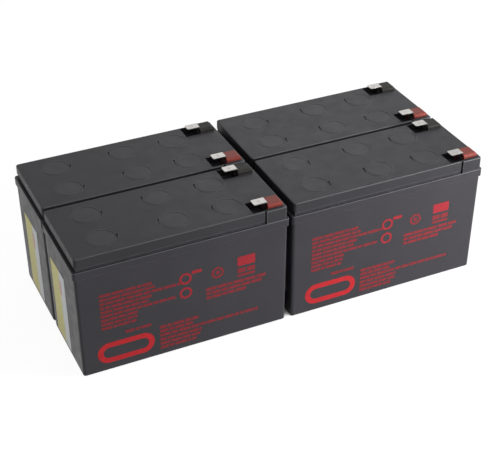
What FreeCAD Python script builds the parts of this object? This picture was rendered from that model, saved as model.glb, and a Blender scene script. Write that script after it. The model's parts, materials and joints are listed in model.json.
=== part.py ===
import FreeCAD, Part
import os

# UPS battery cartridge: four sealed 12 V lead-acid batteries in a two by two block, bonded side to
# side with foam tape. Millimetres, +Z up, +X along the long side of the block, -Y the printed front.
# The origin is the centre of the block on the surface that it stands on.
# A battery is drawn once in its own corner frame, x from its left end and y from its front side,
# and then set down four times. Its terminals are both at the right end, positive at the front.

os.makedirs("parts", exist_ok=True)
Vector = FreeCAD.Vector

# The block
column_gap = 2.0
row_gap = 1.0
column_names = ("left", "right")
row_names = ("front", "rear")

# Case: a drafted box with a thicker rim band round its mouth
battery_length = 151.0
battery_width = 65.0
rim_top = 84.5
rim_band_height = 6.0
corner_radius = 2.0
body_inset_top = 0.9
body_inset_bottom = 1.4
floor_thickness = 2.5
end_wall = 3.5
side_wall = 3.2
partition_thickness = 1.6
cell_columns = 3
cell_rows = 2

# Lid: a plug in the case mouth, a recessed joint band that shows as a dark line, and a deep plate
plug_depth = 2.0
plug_clearance = 0.15
joint_height = 2.0
joint_inset = 1.8
plate_height = 7.5
lid_inset = 1.0
lid_terminal_end_inset = 1.5
hollow_height = 5.5
hollow_wall = 1.5

# Terminal corners of the lid
corner_block_length = 15.2
corner_block_width = 6.0
corner_block_inset = 0.2
corner_slot_width = 1.3
terminal_offset = 9.0
recess_length = 11.5
recess_width = 13.5
recess_depth = 6.0
pocket_length = 11.0
pocket_width = 11.0
pocket_end_margin = 2.0
pocket_depth = 8.0

# Terminal tab: a flat blade bent down into a leg, and the seal block cast round the leg
tab_width = 6.35
tab_thickness = 0.8
blade_length = 10.0
blade_rise = 4.0
bend_radius = 0.8
seal_rise = 2.8
seal_bevel = 1.2

# Vents: a chamber and a gas port over each cell, a rubber pad on the port and a round cover disc
vent_columns = (25.5, 75.5, 113.5)
chamber_size = 12.5
chamber_depth = 4.0
gas_port_size = 2.0
pad_clearance = 0.25
cover_radius = 10.0
cover_thickness = 0.4

# Cell elements: negative plates outside, positive plates in a folded glass mat between them
positive_plate_count = 3
negative_thickness = 2.2
lug_thickness = 2.6
stack_clearance = 0.1
plate_end_clearance = 0.4
plate_foot_gap = 0.5
plate_body_height = 65.0
lug_width = 8.0

# Cast lead straps over the lugs, linked over the partitions
strap_height = 4.0
strap_clearance = 0.15
bridge_width = 8.0
post_length = 5.5

# End label
label_thickness = 0.3
label_width = 29.0
label_rear_margin = 3.4
label_bottom = 2.0
label_height = 54.0

# Foam tape between the batteries
row_tape_length = 90.0
column_tape_margin = 10.0
column_tape_clearance = 3.0
tape_bottom = 18.0
tape_height = 52.0

# Heights and places that follow from these sizes
rim_bottom = rim_top - rim_band_height
partition_top = rim_top - plug_depth
joint_top = rim_top + joint_height
lid_top = joint_top + plate_height
pocket_floor = lid_top - pocket_depth
chamber_floor = lid_top - chamber_depth
hollow_top = partition_top + hollow_height
tab_top = lid_top + blade_rise
seal_top = lid_top + seal_rise
cell_length = (battery_length - 2 * end_wall - (cell_columns - 1) * partition_thickness) / cell_columns
cell_width = (battery_width - 2 * side_wall - (cell_rows - 1) * partition_thickness) / cell_rows
plate_bottom = floor_thickness + plate_foot_gap
plate_top = plate_bottom + plate_body_height
strap_bottom = partition_top - strap_height
negative_plate_count = positive_plate_count + 1
positive_thickness = (cell_width - 2 * stack_clearance
                      - negative_plate_count * negative_thickness) / positive_plate_count
lid_end = battery_length - lid_terminal_end_inset
pocket_end = lid_end - pocket_end_margin
pocket_start = pocket_end - pocket_length
block_start = lid_end - corner_block_length
recess_start = pocket_start - recess_length
post_start = pocket_start + tab_thickness
label_start = battery_width - label_rear_margin - label_width
column_tape_length = label_start - column_tape_clearance - column_tape_margin


def box(x0, x1, y0, y1, z0, z1):
    """An upright box between two corners."""
    return Part.makeBox(x1 - x0, y1 - y0, z1 - z0, Vector(x0, y0, z0))


def upright_box(x, y, size_x, size_y, z0, z1):
    """An upright box about a centre."""
    return box(x - size_x / 2, x + size_x / 2, y - size_y / 2, y + size_y / 2, z0, z1)


def terminal_box(x0, x1, width, z0, z1):
    """A box across the middle line of the front terminal."""
    return box(x0, x1, terminal_offset - width / 2, terminal_offset + width / 2, z0, z1)


def rounded(shape, z0, z1):
    """Round the upright corner edges of a shape between two heights."""
    upright = [edge for edge in shape.Edges
               if edge.BoundBox.ZMin < z0 + 0.01 and edge.BoundBox.ZMax > z1 - 0.01]
    return shape.makeFillet(corner_radius, upright)


def mirrored(shape):
    """The same shape at the rear terminal."""
    return shape.mirror(Vector(0, battery_width / 2, 0), Vector(0, 1, 0))


def body_face(z):
    """How far the drafted wall lies in from the widest size at a height."""
    return body_inset_bottom + z / rim_bottom * (body_inset_top - body_inset_bottom)


def cell_corner(column, row):
    """The left front corner of a cell."""
    return (end_wall + column * (cell_length + partition_thickness),
            side_wall + row * (cell_width + partition_thickness))


def cells():
    """The six cells in electrical order: out along the front row and back along the rear one."""
    front = [(column, 0) for column in reversed(range(cell_columns))]
    return front + [(column, cell_rows - 1) for column in range(cell_columns)]


def lug_start(column, row, polarity):
    """Where the lugs of one polarity start: positive at the terminal side of the front row."""
    x = cell_corner(column, row)[0]
    if (row == 0) == (polarity == "positive"):
        return x + cell_length - plate_end_clearance - lug_width
    return x + plate_end_clearance


def case():
    """Case with drafted walls, a rim band, six cells and strap notches in the partitions."""
    low = body_inset_bottom
    high = body_inset_top
    walls = Part.makeWedge(low, 0, low, high, high, battery_length - low, rim_bottom,
                           battery_width - low, battery_width - high, battery_length - high)
    walls.rotate(Vector(0, 0, 0), Vector(1, 0, 0), 90)
    walls.translate(Vector(0, battery_width, 0))
    band = box(0, battery_length, 0, battery_width, rim_bottom, rim_top)
    shell = rounded(walls, 0, rim_bottom).fuse(rounded(band, rim_bottom, rim_top))
    hollows = [box(end_wall, battery_length - end_wall, side_wall, battery_width - side_wall,
                   partition_top, rim_top)]
    for column, row in cells():
        x, y = cell_corner(column, row)
        hollows.append(box(x, x + cell_length, y, y + cell_width, floor_thickness, partition_top))
    return shell.cut(hollows + strap_notches())


def strap_notches():
    """A notch in a partition wherever a strap crosses it."""
    notches = []
    path = cells()
    for (column, row), (next_column, next_row) in zip(path, path[1:]):
        x, y = cell_corner(max(column, next_column), max(row, next_row))
        if row == next_row:
            bridge = bridge_width + 2 * strap_clearance
            start = y if row == 0 else y + cell_width - bridge
            notches.append(box(x - partition_thickness, x, start, start + bridge,
                               strap_bottom, partition_top))
        else:
            start = lug_start(column, row, "negative") - strap_clearance
            notches.append(box(start, start + lug_width + 2 * strap_clearance,
                               y - partition_thickness, y, strap_bottom, partition_top))
    return notches


def lid():
    """Lid with plug, joint band, terminal corners, vent chambers and a hollow over each cell."""
    plug_x = end_wall + plug_clearance
    plug_y = side_wall + plug_clearance
    plug = box(plug_x, battery_length - plug_x, plug_y, battery_width - plug_y,
               partition_top, rim_top)
    band = box(joint_inset, lid_end - joint_inset, joint_inset, battery_width - joint_inset,
               rim_top, joint_top)
    plate = rounded(box(lid_inset, lid_end, lid_inset, battery_width - lid_inset,
                        joint_top, lid_top), joint_top, lid_top)
    block = corner_block()
    solid = plate.fuse([plug, band, block, mirrored(block)])
    cuts = lid_hollows()
    for cut in (corner_slot(), terminal_recess(), seal_pocket(), post_hole()):
        cuts.append(cut)
        cuts.append(mirrored(cut))
    for x, y in vent_places():
        cuts.append(upright_box(x, y, chamber_size, chamber_size, chamber_floor, lid_top))
        cuts.append(upright_box(x, y, gas_port_size, gas_port_size, partition_top, chamber_floor))
    return solid.cut(cuts).removeSplitter()


def corner_block():
    """The front terminal corner, flush with the rim band and closed over the joint."""
    block = box(block_start, lid_end, corner_block_inset, corner_block_width, rim_top, lid_top)
    corner = [edge for edge in block.Edges if edge.BoundBox.XMin > lid_end - 0.01
              and edge.BoundBox.YMax < corner_block_inset + 0.01]
    return block.makeFillet(corner_radius, corner)


def corner_slot():
    """The narrow upright groove beside the front terminal corner."""
    return box(block_start - corner_slot_width, block_start, 0, joint_inset, rim_top, lid_top)


def terminal_recess():
    """The recess under the blade that a push-on connector needs."""
    return terminal_box(recess_start, pocket_start, recess_width, lid_top - recess_depth, lid_top)


def seal_pocket():
    """The pocket that holds the seal block."""
    return terminal_box(pocket_start, pocket_end, pocket_width, pocket_floor, lid_top)


def post_hole():
    """The way through the lid for the tab's leg and the lead post."""
    return terminal_box(pocket_start, post_start + post_length + strap_clearance,
                        tab_width + 2 * strap_clearance, partition_top, pocket_floor)


def lid_hollows():
    """A hollow under the lid over each cell, short of the terminal recesses in the last column."""
    hollows = []
    for column, row in cells():
        x, y = cell_corner(column, row)
        end = min(x + cell_length, recess_start) - hollow_wall
        hollows.append(box(x + hollow_wall, end, y + hollow_wall, y + cell_width - hollow_wall,
                           partition_top, hollow_top))
    return hollows


def vent_places():
    """The centre of each vent, over the middle of its cell's width."""
    rows = [cell_corner(0, row)[1] + cell_width / 2 for row in range(cell_rows)]
    return [(x, y) for x in vent_columns for y in rows]


def vent_covers():
    """Round discs that close the chambers and hold the valve pads down."""
    return [Part.makeCylinder(cover_radius, cover_thickness, Vector(x, y, lid_top))
            for x, y in vent_places()]


def valve_pads():
    """Rubber pads, one over each gas port."""
    size = chamber_size - 2 * pad_clearance
    return [upright_box(x, y, size, size, chamber_floor, lid_top) for x, y in vent_places()]


def terminal_tab():
    """The front tab: a blade over the recess, bent down through the seal block into the lid."""
    blade = terminal_box(post_start - blade_length, post_start, tab_width,
                         tab_top - tab_thickness, tab_top)
    leg = terminal_box(pocket_start, post_start, tab_width, partition_top, tab_top)
    tab = blade.fuse(leg).removeSplitter()
    bend = [edge for edge in tab.Edges
            if edge.BoundBox.ZMin > tab_top - 0.01 and edge.BoundBox.XMin > post_start - 0.01]
    return tab.makeFillet(bend_radius, bend)


def seal_block():
    """The front seal block, with bevelled outer top edges and a groove for the leg."""
    block = terminal_box(pocket_start, pocket_end, pocket_width, pocket_floor, seal_top)
    outer = [edge for edge in block.Edges if edge.BoundBox.ZMin > seal_top - 0.01
             and edge.BoundBox.XMax > pocket_start + 0.01]
    groove = terminal_box(pocket_start, post_start, tab_width, pocket_floor, seal_top)
    return block.makeChamfer(seal_bevel, outer).cut(groove)


def plates(polarity):
    """The plates of one polarity in every cell, each with its lug."""
    solids = []
    pitch = negative_thickness + positive_thickness
    for column, row in cells():
        x, y = cell_corner(column, row)
        lug_x = lug_start(column, row, polarity)
        first = y + stack_clearance
        count, thickness = negative_plate_count, negative_thickness
        if polarity == "positive":
            first += negative_thickness
            count, thickness = positive_plate_count, positive_thickness
        for number in range(count):
            start = first + number * pitch
            sheet = box(x + plate_end_clearance, x + cell_length - plate_end_clearance,
                        start, start + thickness, plate_bottom, plate_top)
            lug_y = start + (thickness - min(lug_thickness, thickness)) / 2
            lug = box(lug_x, lug_x + lug_width, lug_y, lug_y + min(lug_thickness, thickness),
                      plate_top, strap_bottom)
            solids.append(sheet.fuse(lug).removeSplitter())
    return solids


def strap_bar(column, row, polarity):
    """The bar over the lugs of one polarity in one cell."""
    x = lug_start(column, row, polarity)
    y = cell_corner(column, row)[1]
    return box(x, x + lug_width, y + strap_clearance, y + cell_width - strap_clearance,
               strap_bottom, partition_top)


def end_strap(column, row, polarity):
    """The bar at one end of the series, with the post that meets the tab's leg."""
    post = terminal_box(post_start, post_start + post_length, tab_width,
                        partition_top, pocket_floor)
    bar = strap_bar(column, row, polarity)
    return bar.fuse(post if row == 0 else mirrored(post)).removeSplitter()


def link_strap(cell, next_cell):
    """The negative bar of one cell, the positive bar of the next and the bridge between them."""
    bars = (strap_bar(*cell, "negative"), strap_bar(*next_cell, "positive"))
    bounds = bars[0].BoundBox
    bounds.add(bars[1].BoundBox)
    y0, y1 = bounds.YMin, bounds.YMax
    if cell[1] == next_cell[1]:
        y0, y1 = (y0, y0 + bridge_width) if cell[1] == 0 else (y1 - bridge_width, y1)
    bridge = box(bounds.XMin, bounds.XMax, y0, y1, strap_bottom, partition_top)
    return bridge.fuse(list(bars)).removeSplitter()


def cell_straps():
    """Two end straps and five links that put the six cells in series."""
    path = cells()
    ends = [end_strap(*path[0], "positive"), end_strap(*path[-1], "negative")]
    return ends + [link_strap(cell, next_cell) for cell, next_cell in zip(path, path[1:])]


def end_label():
    """The label on the left end, lying against the drafted wall."""
    heights = (label_bottom, label_bottom + label_height)
    corners = [(body_face(z), z) for z in heights]
    corners += [(body_face(z) - label_thickness, z) for z in reversed(heights)]
    outline = Part.makePolygon([Vector(x, label_start, z) for x, z in corners + corners[:1]])
    return Part.Face(outline).extrude(Vector(0, label_width, 0))


def tape(gap, length):
    """Foam tape that fills the gap between two drafted walls, along x about the origin."""
    heights = (tape_bottom, tape_bottom + tape_height)
    low, high = [gap / 2 + body_face(z) for z in heights]
    corners = [(-low, heights[0]), (low, heights[0]), (high, heights[1]), (-high, heights[1])]
    points = [Vector(-length / 2, y, z) for y, z in corners + corners[:1]]
    return Part.Face(Part.makePolygon(points)).extrude(Vector(length, 0, 0))


def row_tapes():
    """Tape between the front and the rear battery of each column."""
    middle = (battery_length + column_gap) / 2
    return [tape(row_gap, row_tape_length).translated(Vector(x, 0, 0)) for x in (-middle, middle)]


def column_tapes():
    """Tape between the left and the right battery of each row, in front of the end labels."""
    solids = []
    for corner_y in (-battery_width - row_gap / 2, row_gap / 2):
        strip = tape(column_gap, column_tape_length)
        strip.rotate(Vector(0, 0, 0), Vector(0, 0, 1), 90)
        middle = corner_y + column_tape_margin + column_tape_length / 2
        solids.append(strip.translated(Vector(0, middle, 0)))
    return solids


def battery_places():
    """The name and the corner of each battery in the block."""
    places = []
    for row, row_name in enumerate(row_names):
        for column, column_name in enumerate(column_names):
            x = (column - 1) * (battery_length + column_gap) + column_gap / 2
            y = (row - 1) * (battery_width + row_gap) + row_gap / 2
            places.append((row_name + "_" + column_name, Vector(x, y, 0)))
    return places


def export(name, shapes):
    """Write one sub-part: a single solid, or a group of separate like solids."""
    shape = shapes[0] if len(shapes) == 1 else Part.makeCompound(shapes)
    shape.exportStep("parts/" + name + ".step")


def main():
    tab = terminal_tab()
    seal = seal_block()
    battery = {
        "case": [case()],
        "lid": [lid()],
        "valve_pads": valve_pads(),
        "positive_terminal": [tab],
        "negative_terminal": [mirrored(tab)],
        "positive_seal": [seal],
        "negative_seal": [mirrored(seal)],
        "positive_plates": plates("positive"),
        "negative_plates": plates("negative"),
        "cell_straps": cell_straps(),
        "end_label": [end_label()],
    }
    covers = []
    for place, corner in battery_places():
        for piece, shapes in battery.items():
            export(place + "_" + piece, [shape.translated(corner) for shape in shapes])
        covers += [cover.translated(corner) for cover in vent_covers()]
    export("vent_covers", covers)
    export("row_tapes", row_tapes())
    export("column_tapes", column_tapes())


main()
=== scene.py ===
import json
import math

import bpy
from mathutils import Matrix, Vector

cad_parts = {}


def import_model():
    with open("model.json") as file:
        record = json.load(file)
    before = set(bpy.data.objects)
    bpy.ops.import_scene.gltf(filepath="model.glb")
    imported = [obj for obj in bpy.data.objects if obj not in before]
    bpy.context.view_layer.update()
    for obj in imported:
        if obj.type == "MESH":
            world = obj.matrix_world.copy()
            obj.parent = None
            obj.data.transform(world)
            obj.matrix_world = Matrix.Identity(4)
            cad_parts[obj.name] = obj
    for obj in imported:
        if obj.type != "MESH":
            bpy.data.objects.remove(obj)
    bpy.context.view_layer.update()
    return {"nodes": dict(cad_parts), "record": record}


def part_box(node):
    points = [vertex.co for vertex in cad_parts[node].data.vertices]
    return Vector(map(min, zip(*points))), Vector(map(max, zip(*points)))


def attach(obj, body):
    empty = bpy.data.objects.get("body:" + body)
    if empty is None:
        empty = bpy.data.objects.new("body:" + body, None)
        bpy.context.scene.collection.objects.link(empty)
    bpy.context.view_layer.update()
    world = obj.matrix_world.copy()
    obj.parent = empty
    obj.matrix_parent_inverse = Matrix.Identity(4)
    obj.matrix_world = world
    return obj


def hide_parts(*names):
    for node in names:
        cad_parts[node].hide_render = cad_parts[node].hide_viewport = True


# Looks of a block of four sealed batteries. Metres, +Z up, printed faces towards -Y.
# Pieces of one battery are made on the front left one and copied to the other three places.

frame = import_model()

MM = 0.001
PLACES = ("front_left", "front_right", "rear_left", "rear_right")
FIRST = PLACES[0]
PRINTED = ("front_left", "front_right")

corner = {place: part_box(place + "_case")[0] for place in PLACES}
case_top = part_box(FIRST + "_case")[1]
lid_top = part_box("vent_covers")[0].z

# Sizes of a battery in millimetres, with places counted from its left front corner
LENGTH = 151.0
WIDTH = 65.0
FOOT_INSET = 1.4
WALL_LEAN = 0.5
WALL_HEIGHT = 78.5
draft = math.atan(WALL_LEAN / WALL_HEIGHT)
RIM_TOP = 84.5
LID_TOP = 94.0
LID_START = 1.7
LID_END = 149.5
VENT_COLUMNS = (25.5, 75.5, 113.5)
VENT_ROWS = (17.45, 47.55)
TAB_ROWS = (9.0, 56.0)
# How near counts as lying on a face, and how far one piece sinks into another
TOUCH = 0.1


# Mesh work

def activate(piece):
    """Select one object alone and make it the active one."""
    bpy.ops.object.select_all(action="DESELECT")
    piece.select_set(True)
    bpy.context.view_layer.objects.active = piece


def new_piece(name):
    """Name the object that an operator has just added."""
    piece = bpy.context.active_object
    piece.name = name
    piece.data.name = name
    return piece


def cad_form(node, name):
    """A piece with the form of a CAD node, its split vertices joined and its flat faces whole."""
    mesh = frame["nodes"][node].data.copy()
    mesh.materials.clear()
    piece = bpy.data.objects.new(name, mesh)
    bpy.context.scene.collection.objects.link(piece)
    activate(piece)
    bpy.ops.object.mode_set(mode="EDIT")
    bpy.ops.mesh.select_all(action="SELECT")
    bpy.ops.mesh.remove_doubles(threshold=0.001 * MM)
    bpy.ops.mesh.normals_make_consistent(inside=False)
    bpy.ops.mesh.dissolve_limited(angle_limit=math.radians(1))
    bpy.ops.object.mode_set(mode="OBJECT")
    bpy.ops.mesh.customdata_custom_splitnormals_clear()
    return piece


def soften(piece, width, segments, wanted=None):
    """Bevel the sharp edges of a piece, all of them or those whose middle is wanted."""
    activate(piece)
    bpy.ops.object.mode_set(mode="EDIT")
    bpy.ops.mesh.select_mode(type="EDGE")
    bpy.ops.mesh.select_all(action="DESELECT")
    bpy.ops.mesh.edges_select_sharp(sharpness=math.radians(30))
    bpy.ops.object.mode_set(mode="OBJECT")
    mesh = piece.data
    for part in (*mesh.polygons, *mesh.vertices):
        part.select = False
    if wanted:
        for edge in mesh.edges:
            ends = [mesh.vertices[index].co for index in edge.vertices]
            edge.select = edge.select and wanted((ends[0] + ends[1]) / 2, ends)
    bpy.ops.object.mode_set(mode="EDIT")
    bpy.ops.mesh.bevel(offset=width, segments=segments, affect="EDGES",
                        loop_slide=False)
    bpy.ops.object.mode_set(mode="OBJECT")


def smooth(piece):
    """Smooth shading that keeps the crisp edges, with the wide faces truly flat."""
    activate(piece)
    bpy.ops.object.shade_smooth_by_angle(angle=math.radians(35))
    weighted = piece.modifiers.new("weighted", "WEIGHTED_NORMAL")
    weighted.keep_sharp = True
    bpy.ops.object.modifier_apply(modifier=weighted.name)


def join(pieces, name):
    """Join several objects into one."""
    bpy.ops.object.select_all(action="DESELECT")
    for piece in pieces:
        piece.select_set(True)
    bpy.context.view_layer.objects.active = pieces[0]
    bpy.ops.object.join()
    return new_piece(name)


def settle(piece):
    """Bring an object's place into its mesh, so that it lies at the origin."""
    activate(piece)
    bpy.ops.object.transform_apply(location=True, rotation=True, scale=True)
    return piece


def block(low, high):
    """An upright box between two corners, in millimetres from the first battery's corner."""
    low, high = Vector(low), Vector(high)
    bpy.ops.mesh.primitive_cube_add(size=1, location=at_corner(*((low + high) / 2)))
    box = new_piece("block")
    box.scale = (high - low) * MM
    return settle(box)


def raise_faces(height):
    """Extrude the selected faces straight up or down, by a height in millimetres."""
    bpy.ops.mesh.extrude_region_move(TRANSFORM_OT_translate={"value": (0, 0, height * MM)})


def cut(piece, tool, operation="DIFFERENCE"):
    """Take one object out of another, or join it on."""
    activate(piece)
    boolean = piece.modifiers.new("cut", "BOOLEAN")
    boolean.operation = operation
    boolean.solver = "EXACT"
    boolean.object = tool
    bpy.ops.object.modifier_apply(modifier=boolean.name)
    bpy.data.objects.remove(tool)


def repeated(piece, place):
    """The first battery's piece again at another place, with its own mesh."""
    twin = piece.copy()
    twin.data = piece.data.copy()
    twin.name = piece.name.replace(FIRST, place)
    twin.data.transform(Matrix.Translation(corner[place] - corner[FIRST]))
    bpy.context.scene.collection.objects.link(twin)
    return twin


def from_corner(point):
    """A point's place from the first battery's corner, in millimetres."""
    return (point - corner[FIRST]) / MM


def at_corner(x, y, z):
    """The place in the frame of a point given in millimetres from the first battery's corner."""
    return corner[FIRST] + Vector((x, y, z)) * MM


# Node work

def group(name, inputs, outputs):
    """A node group with its sockets, and its two ends."""
    tree = bpy.data.node_groups.new(name, "ShaderNodeTree")
    for label, kind, value in inputs:
        socket = tree.interface.new_socket(name=label, in_out="INPUT", socket_type=kind)
        socket.default_value = value
    for label, kind in outputs:
        tree.interface.new_socket(name=label, in_out="OUTPUT", socket_type=kind)
    return tree, tree.nodes.new("NodeGroupInput"), tree.nodes.new("NodeGroupOutput")


def noise(tree, scale, detail=3.0, roughness=0.5):
    """Noise over the object, its scale counted in features to the metre."""
    place = tree.nodes.new("ShaderNodeTexCoord")
    texture = tree.nodes.new("ShaderNodeTexNoise")
    texture.inputs["Detail"].default_value = detail
    texture.inputs["Roughness"].default_value = roughness
    tree.links.new(place.outputs["Object"], texture.inputs["Vector"])
    if isinstance(scale, bpy.types.NodeSocket):
        tree.links.new(scale, texture.inputs["Scale"])
    else:
        texture.inputs["Scale"].default_value = scale
    return texture.outputs["Fac"]


def ranged(tree, value, low, high, to_low, to_high):
    """A value carried from one range to another and held within it."""
    step = tree.nodes.new("ShaderNodeMapRange")
    for label, number in (("From Min", low), ("From Max", high), ("To Min", to_low),
                          ("To Max", to_high)):
        step.inputs[label].default_value = number
    tree.links.new(value, step.inputs["Value"])
    return step.outputs["Result"]


def mixed(tree, factor, first, second):
    """A mix of two colours."""
    step = tree.nodes.new("ShaderNodeMix")
    step.data_type = "RGBA"
    tree.links.new(factor, step.inputs["Factor"])
    for label, colour in (("A", first), ("B", second)):
        socket = [s for s in step.inputs if s.name == label and s.type == "RGBA"][0]
        tree.links.new(colour, socket)
    return [s for s in step.outputs if s.type == "RGBA"][0]


def multiplied(tree, first, second):
    """The product of two values."""
    step = tree.nodes.new("ShaderNodeMath")
    step.operation = "MULTIPLY"
    tree.links.new(first, step.inputs[0])
    if isinstance(second, bpy.types.NodeSocket):
        tree.links.new(second, step.inputs[1])
    else:
        step.inputs[1].default_value = second
    return step.outputs[0]


def grain_group():
    """Fine raised grain of a moulded or cast surface."""
    tree, start, end = group("surface_grain",
                             [("Scale", "NodeSocketFloat", 2500.0),
                              ("Depth", "NodeSocketFloat", 0.02)],
                             [("Normal", "NodeSocketVector")])
    bump = tree.nodes.new("ShaderNodeBump")
    bump.inputs["Strength"].default_value = 0.5
    height = noise(tree, start.outputs["Scale"], 4.0, 0.6)
    tree.links.new(height, bump.inputs["Height"])
    depth = multiplied(tree, start.outputs["Depth"], MM)
    tree.links.new(depth, bump.inputs["Distance"])
    tree.links.new(bump.outputs["Normal"], end.inputs["Normal"])
    return tree


def mottle_group():
    """Slow and fine changes of shade over a surface."""
    tree, start, end = group("mottle",
                             [("Color", "NodeSocketColor", (0.5, 0.5, 0.5, 1.0)),
                              ("Tint", "NodeSocketColor", (0.6, 0.6, 0.6, 1.0)),
                              ("Amount", "NodeSocketFloat", 0.5),
                              ("Scale", "NodeSocketFloat", 30.0)],
                             [("Color", "NodeSocketColor")])
    slow = ranged(tree, noise(tree, start.outputs["Scale"], 5.0, 0.6), 0.3, 0.75, 0.0, 1.0)
    factor = multiplied(tree, slow, start.outputs["Amount"])
    colour = mixed(tree, factor, start.outputs["Color"], start.outputs["Tint"])
    tree.links.new(colour, end.inputs["Color"])
    return tree


# Lighter edges stand partly for wear and partly for a painted highlight along the edges.
WEAR_AND_HIGHLIGHT_WIDTH = 0.7


def wear_and_highlight_group():
    """Lighter edges, partly rubbed wear and partly a painted highlight, found where the rounded
    normal leaves the true one.
    """
    tree, start, end = group("rubbed_edges",
                             [("Color", "NodeSocketColor", (0.5, 0.5, 0.5, 1.0)),
                              ("Worn", "NodeSocketColor", (0.7, 0.7, 0.7, 1.0)),
                              ("Amount", "NodeSocketFloat", 0.6)],
                             [("Color", "NodeSocketColor")])
    rounded = tree.nodes.new("ShaderNodeBevel")
    rounded.samples = 6
    rounded.inputs["Radius"].default_value = WEAR_AND_HIGHLIGHT_WIDTH * MM
    facing = tree.nodes.new("ShaderNodeNewGeometry")
    dot = tree.nodes.new("ShaderNodeVectorMath")
    dot.operation = "DOT_PRODUCT"
    tree.links.new(rounded.outputs["Normal"], dot.inputs[0])
    tree.links.new(facing.outputs["Normal"], dot.inputs[1])
    edge = ranged(tree, dot.outputs["Value"], 0.995, 0.9, 0.0, 1.0)
    patchy = ranged(tree, noise(tree, 140.0, 6.0, 0.7), 0.35, 0.65, 0.25, 1.0)
    wear_and_highlight_share = multiplied(tree, multiplied(tree, edge, patchy), start.outputs["Amount"])
    colour = mixed(tree, wear_and_highlight_share, start.outputs["Color"], start.outputs["Worn"])
    tree.links.new(colour, end.inputs["Color"])
    return tree


GRAIN = grain_group()
MOTTLE = mottle_group()
EDGES = wear_and_highlight_group()
GLOSS_SPREAD = 0.06


def use(tree, shared, **values):
    """A shared effect in a material, with its settings."""
    node = tree.nodes.new("ShaderNodeGroup")
    node.node_tree = shared
    for label, value in values.items():
        socket = node.inputs[label]
        if isinstance(value, bpy.types.NodeSocket):
            tree.links.new(value, socket)
        else:
            socket.default_value = (*value, 1.0) if isinstance(value, tuple) else value
    return node.outputs[0]


def surface(name, colour, tint, roughness, amount=0.5, scale=30.0, grain=(2500.0, 0.02),
            worn=None, wear_and_highlight=0.5, metallic=0.0, specular=0.5):
    """A finished surface: mottled colour, edges lighter from wear and from a painted highlight,
    uneven gloss and fine grain.
    """
    material = bpy.data.materials.new(name)
    material.use_nodes = True
    tree = material.node_tree
    shader = tree.nodes["Principled BSDF"]
    shader.inputs["Metallic"].default_value = metallic
    shader.inputs["Specular IOR Level"].default_value = specular
    paint = use(tree, MOTTLE, Color=colour, Tint=tint, Amount=amount, Scale=scale)
    if worn:
        paint = use(tree, EDGES, Color=paint, Worn=worn, Amount=wear_and_highlight)
    tree.links.new(paint, shader.inputs["Base Color"])
    gloss = ranged(tree, noise(tree, scale * 4, 4.0), 0.3, 0.7,
                   roughness - GLOSS_SPREAD, roughness + GLOSS_SPREAD)
    tree.links.new(gloss, shader.inputs["Roughness"])
    normal = use(tree, GRAIN, Scale=grain[0], Depth=grain[1])
    tree.links.new(normal, shader.inputs["Normal"])
    return material


# The lighter edge colours given below are partly wear and partly painted highlight.
case_plastic = surface("case_plastic", (0.022, 0.0205, 0.024), (0.03, 0.028, 0.033), 0.43,
                       worn=(0.12, 0.12, 0.13), wear_and_highlight=0.8, specular=0.2)
lid_plastic = surface("lid_plastic", (0.0195, 0.0185, 0.0213), (0.028, 0.0265, 0.03), 0.43,
                      worn=(0.12, 0.12, 0.13), wear_and_highlight=0.8, specular=0.17)
# Lighter copies of the lid and rim plastic, a painted highlight for their rounded top edges.
lid_edge_plastic = surface("lid_edge_plastic", (0.065, 0.064, 0.068), (0.03, 0.029, 0.032),
                           0.42, scale=60.0, specular=0.2)
rim_edge_plastic = surface("rim_edge_plastic", (0.074, 0.073, 0.077), (0.038, 0.037, 0.04),
                           0.4, scale=60.0, specular=0.2)
cover_plastic = surface("cover_plastic", (0.026, 0.025, 0.028), (0.034, 0.032, 0.036), 0.47,
                        worn=(0.06, 0.06, 0.065), wear_and_highlight=0.4, specular=0.2)
tin = surface("tinned_tab", (0.37, 0.36, 0.345), (0.29, 0.28, 0.265), 0.3, scale=220.0,
              grain=(1800.0, 0.01), metallic=1.0)
red_resin = surface("red_seal", (0.155, 0.023, 0.016), (0.115, 0.017, 0.013), 0.42,
                    scale=180.0, grain=(500.0, 0.12), worn=(0.34, 0.09, 0.07), wear_and_highlight=0.4,
                    specular=0.2)
dark_resin = surface("dark_seal", (0.012, 0.011, 0.0095), (0.008, 0.0075, 0.007), 0.5,
                     scale=180.0, grain=(500.0, 0.12), worn=(0.05, 0.045, 0.04), wear_and_highlight=0.4,
                     specular=0.15)
yellow_paper = surface("label_paper", (0.72, 0.66, 0.27), (0.62, 0.57, 0.24), 0.6, scale=90.0,
                       grain=(3500.0, 0.01))
white_paper = surface("label_white", (0.74, 0.75, 0.75), (0.64, 0.65, 0.66), 0.6, scale=90.0,
                      grain=(3500.0, 0.01))
pink_patch = surface("label_patch", (0.66, 0.42, 0.38), (0.7, 0.5, 0.44), 0.6, scale=200.0)
bold_ink = surface("bold_ink", (0.33, 0.011, 0.015), (0.26, 0.01, 0.014), 0.45, scale=120.0,
                   specular=0.15)
field_ink = surface("field_ink", (0.22, 0.012, 0.018), (0.17, 0.01, 0.015), 0.45, scale=120.0,
                    specular=0.15)
fine_ink = surface("fine_ink", (0.15, 0.013, 0.017), (0.1, 0.014, 0.018), 0.45, scale=300.0,
                   specular=0.15)
rubber = surface("valve_rubber", (0.018, 0.018, 0.018), (0.03, 0.03, 0.03), 0.6)
foam = surface("foam_tape", (0.025, 0.025, 0.026), (0.05, 0.05, 0.05), 0.85, scale=300.0,
               grain=(900.0, 0.2))
glass_mat = surface("glass_mat", (0.78, 0.78, 0.75), (0.62, 0.61, 0.57), 0.85, scale=120.0,
                    grain=(1500.0, 0.2))
pasted_lead = surface("lead_plate", (0.16, 0.165, 0.175), (0.26, 0.26, 0.27), 0.6, scale=90.0,
                      grain=(600.0, 0.2), metallic=0.4)
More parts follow.
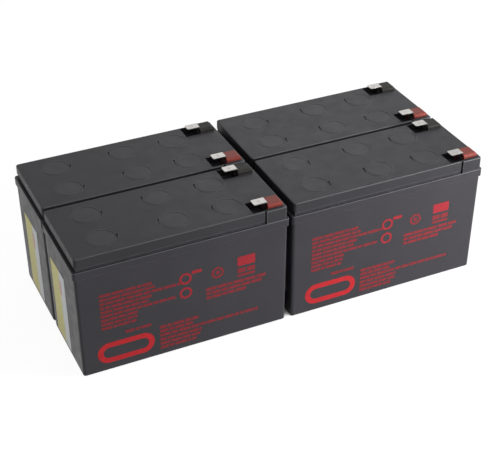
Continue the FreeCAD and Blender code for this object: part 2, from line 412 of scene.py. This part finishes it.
cast_lead = surface("cast_lead", (0.36, 0.37, 0.39), (0.24, 0.25, 0.26), 0.45, scale=120.0,
                    grain=(700.0, 0.1), metallic=0.9)

finishes = {"case_plastic": case_plastic, "lid_plastic": lid_plastic,
            "cover_plastic": cover_plastic, "valve_rubber": rubber, "tinned_tab": tin,
            "red_seal": red_resin, "dark_seal": dark_resin, "glass_mat": glass_mat,
            "lead_plate": pasted_lead, "cast_lead": cast_lead, "label_paper": yellow_paper,
            "foam_tape": foam}
for part in frame["record"]["subparts"]:
    node = frame["nodes"][part["node"]]
    node.data.materials.clear()
    node.data.materials.append(finishes[part["material_slot"]])


def finish(piece, material, slot, *nodes):
    """Give a piece its material and its body, and hide the CAD nodes that it stands for."""
    if material:
        piece.data.materials.clear()
        piece.data.materials.append(material)
    smooth(piece)
    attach(piece, "root")
    if nodes:
        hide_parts(*nodes)


def finish_all(piece, material, slot, node=None, places=PLACES):
    """Copy the first battery's piece to the other places and finish them all."""
    twins = [repeated(piece, place) for place in places if place != FIRST]
    for place, twin in zip(places, [piece] + twins):
        names = [place + "_" + node] if node else []
        finish(twin, material, slot, *names)


# Vents

# Sizes of a vent in millimetres
VENT_SIDES = 72
SEAT_RADIUS = 10.15
SEAT_DEPTH = 0.45
DISC_RADIUS = 10.0
DISC_HEIGHT = 0.55
DISC_RIM = 0.8
RIM_GROOVE_WIDTH = 0.45
RIM_GROOVE_DEPTH = 0.2
DISC_MIDDLE_RISE = 0.15
DISC_EDGE_RADIUS = 0.09
PRYING_SLOT_REACH = 10.3
PRYING_SLOT_SIZE = (1.2, 6.0, 1.4)
PRYING_SLOT_LEAN = math.radians(-14)


def vent_places():
    """The middle of each vent, and the direction of its slot: right in the first column."""
    return [(x, y, PRYING_SLOT_LEAN + (0.0 if x == VENT_COLUMNS[0] else math.pi))
            for x in VENT_COLUMNS for y in VENT_ROWS]


def vent_seat(middle):
    """The shallow round seat that a cover lies in."""
    bpy.ops.mesh.primitive_cylinder_add(vertices=VENT_SIDES, radius=SEAT_RADIUS * MM,
                                        depth=2 * SEAT_DEPTH * MM,
                                        location=(middle.x, middle.y, lid_top))
    return settle(new_piece("seat"))


def prying_slot(middle, turn):
    """The small slot beside a cover for a prying tool."""
    reach = PRYING_SLOT_REACH * MM
    bpy.ops.mesh.primitive_cube_add(size=1, rotation=(0, 0, turn),
                                    location=(middle.x + reach * math.cos(turn),
                                              middle.y + reach * math.sin(turn), lid_top))
    slot = new_piece("slot")
    slot.scale = [size * MM for size in PRYING_SLOT_SIZE]
    return settle(slot)


# Case and lid

# Sizes in millimetres, with places counted from the battery's left front corner
CASE_SKIN = 2.6
FOOT_RADIUS = 1.0
CASE_EDGE_RADIUS = 0.45
FOOT_ZONE = 1.0
# Reach of the cutting blocks past the lid, and over each other
CLEAR = 1.0
OVERLAP = 0.01
BELOW_LID = 80.0
ABOVE_LID = 99.0
# Outline
CORNER_INSET = 0.2
SIDE_INSET = 1.0
SLOT_START = 133.0
SLOT_END = 134.3
SLOT_DEPTH = 1.8
LID_CORNER_RADIUS = 2.0
LID_EDGE_RADIUS = 0.9
# Joint groove and plug
JOINT_TOP = RIM_TOP + 2.0
JOINT_DEPTH = 1.3
LEFT_JOINT_TOP = JOINT_TOP + 1.2
LEFT_JOINT_DEPTH = 0.9
RIGHT_JOINT_DEPTH = 1.8
RIGHT_JOINT_START = 6.0
PLUG_INSET = (3.65, 3.35)
PLUG_FOOT = 82.5
# Terminal corners: a recess under the blade, a pocket for the seal, a hole for the lead post
RECESS_LOW = (125.0, 2.25, 88.0)
RECESS_END = (136.5, 15.75)
POCKET_LOW = (136.49, 3.5, 86.0)
POCKET_END = (147.5, 14.5)
POST_HOLE_START = (136.5, 5.675)
POST_HOLE_HIGH = (142.95, 12.325, 86.1)
# Hollows over the cells, gas ports and vent chambers
CELL_START = 3.5
CELL_PITCH = 48.53
HOLLOW_MARGIN = 1.5
HOLLOW_LENGTH = 43.93
HOLLOW_LIMIT = 123.5
HOLLOW_HALF_WIDTH = 12.75
HOLLOW_TOP = 88.0
PORT_HALF_WIDTH = 1.0
CHAMBER_HALF_WIDTH = 6.25
CHAMBER_FLOOR = 90.0


def outer_edge(near):
    """Whether the middle of an edge lies on the outside of the case."""
    size = (case_top - corner[FIRST]) / MM
    inside_x = CASE_SKIN < near.x < size.x - CASE_SKIN
    inside_y = CASE_SKIN < near.y < size.y - CASE_SKIN
    return not (inside_x and inside_y)


def foot_edge(middle, ends):
    """Whether an edge runs round the foot of the case."""
    near = from_corner(middle)
    return outer_edge(near) and near.z < FOOT_ZONE


def rim_edge(middle, ends):
    """Whether an edge is an outer one of the case above its foot."""
    near = from_corner(middle)
    return outer_edge(near) and near.z > FOOT_ZONE


def lid_corner(middle, ends):
    """Whether an edge is one of the four upright outer corners of the lid."""
    near = from_corner(middle)
    upright = abs(ends[0].z - ends[1].z) > 5 * MM
    return upright and not LID_START + TOUCH < near.x < LID_END - TOUCH


def lid_edge(middle, ends):
    """Whether an edge runs round the top of the lid, clear of the slots beside the terminals."""
    near = from_corner(middle)
    beside_terminal = SLOT_START - TOUCH < near.x < SLOT_END + TOUCH
    return near.z > LID_TOP - TOUCH and not beside_terminal


def both_sides(low, high):
    """A box at the front and its mirror image at the rear."""
    return [block(low, high),
            block((low[0], WIDTH - high[1], low[2]), (high[0], WIDTH - low[1], high[2]))]


def hollows():
    """The hollow, gas port, chamber, seat and prying slot of each vent, as cutting blocks."""
    tools = []
    for x, y, turn in vent_places():
        start = CELL_START + VENT_COLUMNS.index(x) * CELL_PITCH + HOLLOW_MARGIN
        end = min(start + HOLLOW_LENGTH, HOLLOW_LIMIT)
        tools.append(block((start, y - HOLLOW_HALF_WIDTH, BELOW_LID),
                           (end, y + HOLLOW_HALF_WIDTH, HOLLOW_TOP)))
        for half, foot in ((PORT_HALF_WIDTH, BELOW_LID), (CHAMBER_HALF_WIDTH, CHAMBER_FLOOR)):
            tools.append(block((x - half, y - half, foot), (x + half, y + half, ABOVE_LID)))
        tools.append(vent_seat(at_corner(x, y, 0)))
        tools.append(prying_slot(at_corner(x, y, 0), turn))
    return tools


def lid_cover():
    """The lid: rounded outline, joint groove, terminal corners, seats, recesses and hollows."""
    cover = block((LID_START, CORNER_INSET, RIM_TOP), (LID_END, WIDTH - CORNER_INSET, LID_TOP))
    tools = both_sides((-CLEAR, -CLEAR, BELOW_LID), (SLOT_START, SIDE_INSET, ABOVE_LID))
    tools += both_sides((SLOT_START - OVERLAP, -CLEAR, BELOW_LID),
                        (SLOT_END, SLOT_DEPTH, ABOVE_LID))
    for tool in tools:
        cut(cover, tool)
    soften(cover, LID_CORNER_RADIUS * MM, 8, lid_corner)
    soften(cover, LID_EDGE_RADIUS * MM, 4, lid_edge)
    tools = [block((-CLEAR, -CLEAR, BELOW_LID),
                   (LID_START + LEFT_JOINT_DEPTH, WIDTH + CLEAR, LEFT_JOINT_TOP)),
             block((LID_END - RIGHT_JOINT_DEPTH, RIGHT_JOINT_START, BELOW_LID),
                   (LENGTH + CLEAR, WIDTH - RIGHT_JOINT_START, JOINT_TOP))]
    tools += both_sides((-CLEAR, -CLEAR, BELOW_LID), (SLOT_END, JOINT_DEPTH, JOINT_TOP))
    for tool in tools:
        cut(cover, tool)
    plug = block((*PLUG_INSET, PLUG_FOOT),
                 (LENGTH - PLUG_INSET[0], WIDTH - PLUG_INSET[1], RIM_TOP + TOUCH))
    cut(cover, plug, "UNION")
    tools = both_sides(RECESS_LOW, (*RECESS_END, ABOVE_LID))
    tools += both_sides(POCKET_LOW, (*POCKET_END, ABOVE_LID))
    tools += both_sides((*POST_HOLE_START, BELOW_LID), POST_HOLE_HIGH)
    for tool in tools + hollows():
        cut(cover, tool)
    cover.name = FIRST + "_lid_cover"
    return cover


def painted_highlight_edges(piece, lowest, material):
    """Give the rounded upper edges above a height a lighter material: a painted highlight along
    the edge.
    """
    piece.data.materials.append(material)
    for face in piece.data.polygons:
        sloped = 0.2 < face.normal.z < 0.96
        if sloped and from_corner(face.center).z > lowest:
            face.material_index = len(piece.data.materials) - 1


case = cad_form(FIRST + "_case", FIRST + "_case_shell")
soften(case, FOOT_RADIUS * MM, 3, foot_edge)
soften(case, CASE_EDGE_RADIUS * MM, 3, rim_edge)
case.data.materials.clear()
case.data.materials.append(case_plastic)
# Painted highlight along the rim's rounded upper edges.
painted_highlight_edges(case, RIM_TOP - 1, rim_edge_plastic)
finish_all(case, None, "case_plastic", "case")

lid = lid_cover()
lid.data.materials.append(lid_plastic)
# Painted highlight along the lid's rounded top edges.
painted_highlight_edges(lid, LID_TOP - 1, lid_edge_plastic)
finish_all(lid, None, "lid_plastic", "lid")


def vent_disc(name):
    """A round cover with a groove inside its rim, its foot in the seat in the lid."""
    bpy.ops.mesh.primitive_circle_add(vertices=VENT_SIDES, radius=DISC_RADIUS * MM,
                                      fill_type="NGON")
    disc = new_piece(name)
    bpy.ops.object.mode_set(mode="EDIT")
    bpy.ops.mesh.select_all(action="SELECT")
    raise_faces(DISC_HEIGHT)
    bpy.ops.mesh.inset(thickness=DISC_RIM * MM)
    raise_faces(-RIM_GROOVE_DEPTH)
    bpy.ops.mesh.inset(thickness=RIM_GROOVE_WIDTH * MM)
    raise_faces(DISC_MIDDLE_RISE)
    bpy.ops.mesh.select_all(action="SELECT")
    bpy.ops.mesh.normals_make_consistent(inside=False)
    bpy.ops.object.mode_set(mode="OBJECT")
    soften(disc, DISC_EDGE_RADIUS * MM, 2)
    return disc


disc = vent_disc("vent_disc")
discs = []
for place in PLACES:
    for x, y, turn in vent_places():
        twin = disc.copy()
        twin.data = disc.data.copy()
        bpy.context.scene.collection.objects.link(twin)
        middle = at_corner(x, y, 0) + corner[place] - corner[FIRST]
        twin.data.transform(Matrix.Translation((middle.x, middle.y, lid_top - SEAT_DEPTH * MM)))
        cut(twin, prying_slot(middle, turn))
        discs.append(twin)
bpy.data.objects.remove(disc)
discs = join(discs, "vent_discs")
finish(discs, cover_plastic, "cover_plastic", "vent_covers")


# Terminals and seals

# Sizes in millimetres, with places counted from the battery's left front corner
TIP_ZONE = 127.4
TIP_RADIUS = 0.9
TIP_SIDE_ZONE = 128.4
BEND_START = 137.0
BLADE_EDGE_RADIUS = 0.12
SEAL_EDGE_RADIUS = 0.3
DIMPLE_RADIUS = 2.0
DIMPLE_FROM_TIP = 4.4
DIMPLE_RISE = 1.65
SEALS = (("positive", red_resin, "red_seal"), ("negative", dark_resin, "dark_seal"))


def tip_edge(middle, ends):
    """Whether an edge is one of the two upright ones at the end of the blade."""
    return from_corner(middle).x < TIP_ZONE and abs(ends[0].z - ends[1].z) > 0.5 * MM


def blade_edge(middle, ends):
    """Whether an edge lies on the outline of the blade or the leg, short of the bend."""
    near = from_corner(middle)
    on_side = min(abs(near.y - row) for row in TAB_ROWS) > 2.0
    return on_side and near.x < BEND_START or near.x < TIP_SIDE_ZONE


def dimple(pole):
    """A ball whose lower part presses the dimple into the top of a blade."""
    low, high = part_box(FIRST + "_" + pole + "_terminal")
    place = (low.x + DIMPLE_FROM_TIP * MM, (low.y + high.y) / 2, high.z + DIMPLE_RISE * MM)
    bpy.ops.mesh.primitive_uv_sphere_add(segments=32, ring_count=16, radius=DIMPLE_RADIUS * MM,
                                         location=place)
    return settle(new_piece("dimple"))


for pole, resin, slot in SEALS:
    stem = FIRST + "_" + pole
    tab = cad_form(stem + "_terminal", stem + "_tab")
    cut(tab, dimple(pole))
    soften(tab, TIP_RADIUS * MM, 2, tip_edge)
    soften(tab, BLADE_EDGE_RADIUS * MM, 2, blade_edge)
    finish_all(tab, tin, "tinned_tab", pole + "_terminal")
    seal = cad_form(stem + "_seal", stem + "_seal_block")
    soften(seal, SEAL_EDGE_RADIUS * MM, 3)
    finish_all(seal, resin, slot, pole + "_seal")


# End labels

# Sizes in millimetres, with places counted from the battery's left front corner
LABEL_SHIFT = {"front_left": -6.0, "rear_left": -11.5, "front_right": 0.0, "rear_right": 0.0}
LABEL_HEIGHTS = (3.0, 63.0)
LABEL_START = 32.6
LABEL_SEAM = 43.5
LABEL_END = 61.6
LABEL_THICKNESS = 0.15
LABEL_EDGE_RADIUS = 0.04


def label_sheet(name, start, end, material, heights=LABEL_HEIGHTS, proud=0.0):
    """A field of the end label on each battery, stuck on by hand and so not in line."""
    for place in PLACES:
        sheet = block((-LABEL_THICKNESS - proud, start, heights[0]), (TOUCH, end, heights[1]))
        sheet.name = place + "_" + name
        sheet.data.transform(Matrix.Translation(at_corner(FOOT_INSET, 0, 0))
                             @ Matrix.Rotation(-draft, 4, "Y")
                             @ Matrix.Translation(-at_corner(0, 0, 0)))
        move = corner[place] - corner[FIRST] + Vector((0, LABEL_SHIFT[place], 0)) * MM
        sheet.data.transform(Matrix.Translation(move))
        soften(sheet, LABEL_EDGE_RADIUS * MM, 1)
        finish(sheet, material, "label_paper", place + "_end_label")


label_sheet("label_white", LABEL_START, LABEL_SEAM, white_paper)
label_sheet("label_yellow", LABEL_SEAM, LABEL_END, yellow_paper)
label_sheet("label_patch", 40.2, 45.2, pink_patch, heights=(44.0, 56.0), proud=0.05)


# Print on the front faces

# Sizes in millimetres, with places counted from the battery's left front corner
INK_THICKNESS = 0.05
PRINT_CORNER = 0.15
SHORTEST_DASH = 1.2
DASH_LENGTH = 2.5
DASH_SPREAD = 0.06
DASH_GAP = 0.7
# Left end, top, lengths of the rows, distance between rows, height of a dash, start of the draws
DASHED_ROWS = (
    (16.0, 62.5, (36, 38, 56, 36, 34, 52, 26, 25, 24), 3.3, 2.1, 5),
    (32.0, 29.0, (20,), 3.3, 2.2, 7),
    (56.0, 24.5, (28, 24), 3.4, 2.3, 9),
    (56.0, 17.6, (74,), 3.4, 2.2, 13),
    (56.0, 14.0, (30, 29, 26), 3.4, 2.2, 17),
    (90.0, 45.0, (44, 42, 30), 3.5, 2.3, 21),
)
# Left end, right end, foot, top and ink, then any rounder corner and the width of a ring's line
PRINTED_SHAPES = (
    (71, 80, 53, 62, field_ink, 4.49, 1.6),
    (71, 80, 41.5, 50.5, field_ink, 4.49, 1.6),
    (80, 87, 60, 62.5, field_ink),
    (94, 103, 51, 60, fine_ink, 4.49, 1.6),
    (97, 100, 54, 57, fine_ink, 1.49),
    (113, 126, 56, 63.5, field_ink, 0.6),
    (113, 119, 50.5, 54, fine_ink),
    (120, 126, 50.5, 54, fine_ink),
    (113, 126, 47.3, 49.3, fine_ink),
    (12, 52, 6, 22.5, bold_ink, 8.2, 4.0),
)


def patch(x0, x1, z0, z1, material, radius=PRINT_CORNER, line=0.0):
    """A flat field of ink, solid or as a ring, on a sheet that is set upright afterwards."""
    bpy.ops.mesh.primitive_plane_add(size=1, location=((x0 + x1) / 2 * MM, (z0 + z1) / 2 * MM, 0))
    field = new_piece("field")
    field.scale = ((x1 - x0) * MM, (z1 - z0) * MM, 1)
    settle(field)
    bpy.ops.object.mode_set(mode="EDIT")
    bpy.ops.mesh.select_all(action="SELECT")
    bpy.ops.mesh.bevel(offset=radius * MM, segments=2 if radius < 1 else 10, affect="VERTICES")
    if line:
        bpy.ops.mesh.select_all(action="SELECT")
        bpy.ops.mesh.inset(thickness=line * MM)
        bpy.ops.mesh.delete(type="FACE")
    bpy.ops.mesh.select_all(action="SELECT")
    raise_faces(INK_THICKNESS)
    bpy.ops.mesh.select_all(action="SELECT")
    bpy.ops.mesh.normals_make_consistent(inside=False)
    bpy.ops.object.mode_set(mode="OBJECT")
    field.data.materials.append(material)
    return field


def rows_of_dashes(x0, z_top, lengths, pitch, height, seed):
    """Rows of short dashes of uneven length, one row for each length given."""
    fields = []
    state = seed
    for number, length in enumerate(lengths):
        x = x0
        z = z_top - number * pitch
        while x < x0 + length - SHORTEST_DASH:
            state = (state * 37 + 11) % 101
            end = min(x + DASH_LENGTH + state * DASH_SPREAD, x0 + length)
            fields.append(patch(x, end, z - height, z, fine_ink))
            x = end + DASH_GAP
    return fields


def front_print():
    """The fields of print on one front face, kept to plain dashes, bars and rings."""
    fields = []
    for rows in DASHED_ROWS:
        fields += rows_of_dashes(*rows)
    fields += [patch(*shape) for shape in PRINTED_SHAPES]
    sheet = settle(join(fields, FIRST + "_front_print"))
    sheet.data.transform(Matrix.Translation(at_corner(0, FOOT_INSET, 0))
                         @ Matrix.Rotation(math.pi / 2 + draft, 4, "X"))
    return sheet


finish_all(front_print(), None, "print_ink", None, PRINTED)


# Floor, light and camera

def floor():
    """A wide pale floor that shows white and keeps a soft shadow."""
    bpy.ops.mesh.primitive_plane_add(size=12)
    ground = new_piece("floor")
    material = bpy.data.materials.new("floor_white")
    material.use_nodes = True
    tree = material.node_tree
    lit = tree.nodes["Principled BSDF"]
    lit.inputs["Base Color"].default_value = (0.8, 0.8, 0.8, 1.0)
    lit.inputs["Roughness"].default_value = 0.9
    glow = tree.nodes.new("ShaderNodeEmission")
    glow.inputs["Strength"].default_value = 1.05
    blend = tree.nodes.new("ShaderNodeMixShader")
    shelter = tree.nodes.new("ShaderNodeAmbientOcclusion")
    shelter.inputs["Distance"].default_value = 0.05
    open_air = ranged(tree, shelter.outputs["AO"], 0.15, 0.45, 0.0, 0.9)
    share = multiplied(tree, seen_directly(tree), open_air)
    tree.links.new(share, blend.inputs["Fac"])
    tree.links.new(lit.outputs["BSDF"], blend.inputs[1])
    tree.links.new(glow.outputs["Emission"], blend.inputs[2])
    tree.links.new(blend.outputs["Shader"], tree.nodes["Material Output"].inputs["Surface"])
    ground.data.materials.append(material)


def seen_directly(tree):
    """One for camera, mirror and glass rays, nought for the rays that light the object."""
    path = tree.nodes.new("ShaderNodeLightPath")
    total = path.outputs["Is Camera Ray"]
    for label in ("Is Glossy Ray", "Is Transmission Ray"):
        step = tree.nodes.new("ShaderNodeMath")
        step.operation = "MAXIMUM"
        tree.links.new(total, step.inputs[0])
        tree.links.new(path.outputs[label], step.inputs[1])
        total = step.outputs[0]
    return total


def world():
    """White where it is seen, and a soft grey light from all round."""
    sky = bpy.data.worlds.new("studio")
    bpy.context.scene.world = sky
    sky.use_nodes = True
    tree = sky.node_tree
    soft = tree.nodes["Background"]
    soft.inputs["Color"].default_value = (0.95, 0.97, 1.0, 1.0)
    soft.inputs["Strength"].default_value = 0.4
    white = tree.nodes.new("ShaderNodeBackground")
    white.inputs["Color"].default_value = (1.0, 1.0, 1.0, 1.0)
    blend = tree.nodes.new("ShaderNodeMixShader")
    tree.links.new(seen_directly(tree), blend.inputs["Fac"])
    tree.links.new(soft.outputs["Background"], blend.inputs[1])
    tree.links.new(white.outputs["Background"], blend.inputs[2])
    tree.links.new(blend.outputs["Shader"], tree.nodes["World Output"].inputs["Surface"])


def lamp(name, place, target, size, power):
    """A soft square lamp aimed at a point."""
    light = bpy.data.lights.new(name, "AREA")
    light.shape = "SQUARE"
    light.size = size
    light.energy = power
    holder = bpy.data.objects.new(name, light)
    bpy.context.scene.collection.objects.link(holder)
    holder.location = place
    holder.rotation_euler = (Vector(target) - Vector(place)).to_track_quat("-Z", "Y").to_euler()


def camera(azimuth, elevation, distance, target, lens):
    """The camera, placed by its angles round a point."""
    view = bpy.data.cameras.new("camera")
    view.lens = lens
    view.sensor_width = 36.0
    view.sensor_fit = "HORIZONTAL"
    holder = bpy.data.objects.new("camera", view)
    bpy.context.scene.collection.objects.link(holder)
    a, e = math.radians(azimuth), math.radians(elevation)
    back = Vector((math.sin(a) * math.cos(e), -math.cos(a) * math.cos(e), math.sin(e)))
    holder.location = target + back * distance
    holder.rotation_euler = (-back).to_track_quat("-Z", "Y").to_euler()
    bpy.context.scene.camera = holder


floor()
world()
lamp("key", place=(0.52, -0.36, 0.17), target=(0.1, -0.06, 0.05), size=0.25, power=6.6)
lamp("front", place=(0.33, -0.42, 0.42), target=(0.05, -0.06, 0.08), size=0.2, power=1.5)
lamp("top", place=(0.35, 0.1, 1.1), target=(0.05, 0, 0.05), size=1.0, power=2.5)
lamp("back", place=(0.36, 0.6, 0.54), target=(0.08, 0, 0.09), size=0.4, power=0.45)
camera(azimuth=-25.12, elevation=33.71, distance=0.8609,
       target=Vector((-3.1, -7.5, 40.0)) * MM, lens=85.97)
bpy.context.scene.view_settings.view_transform = "Standard"
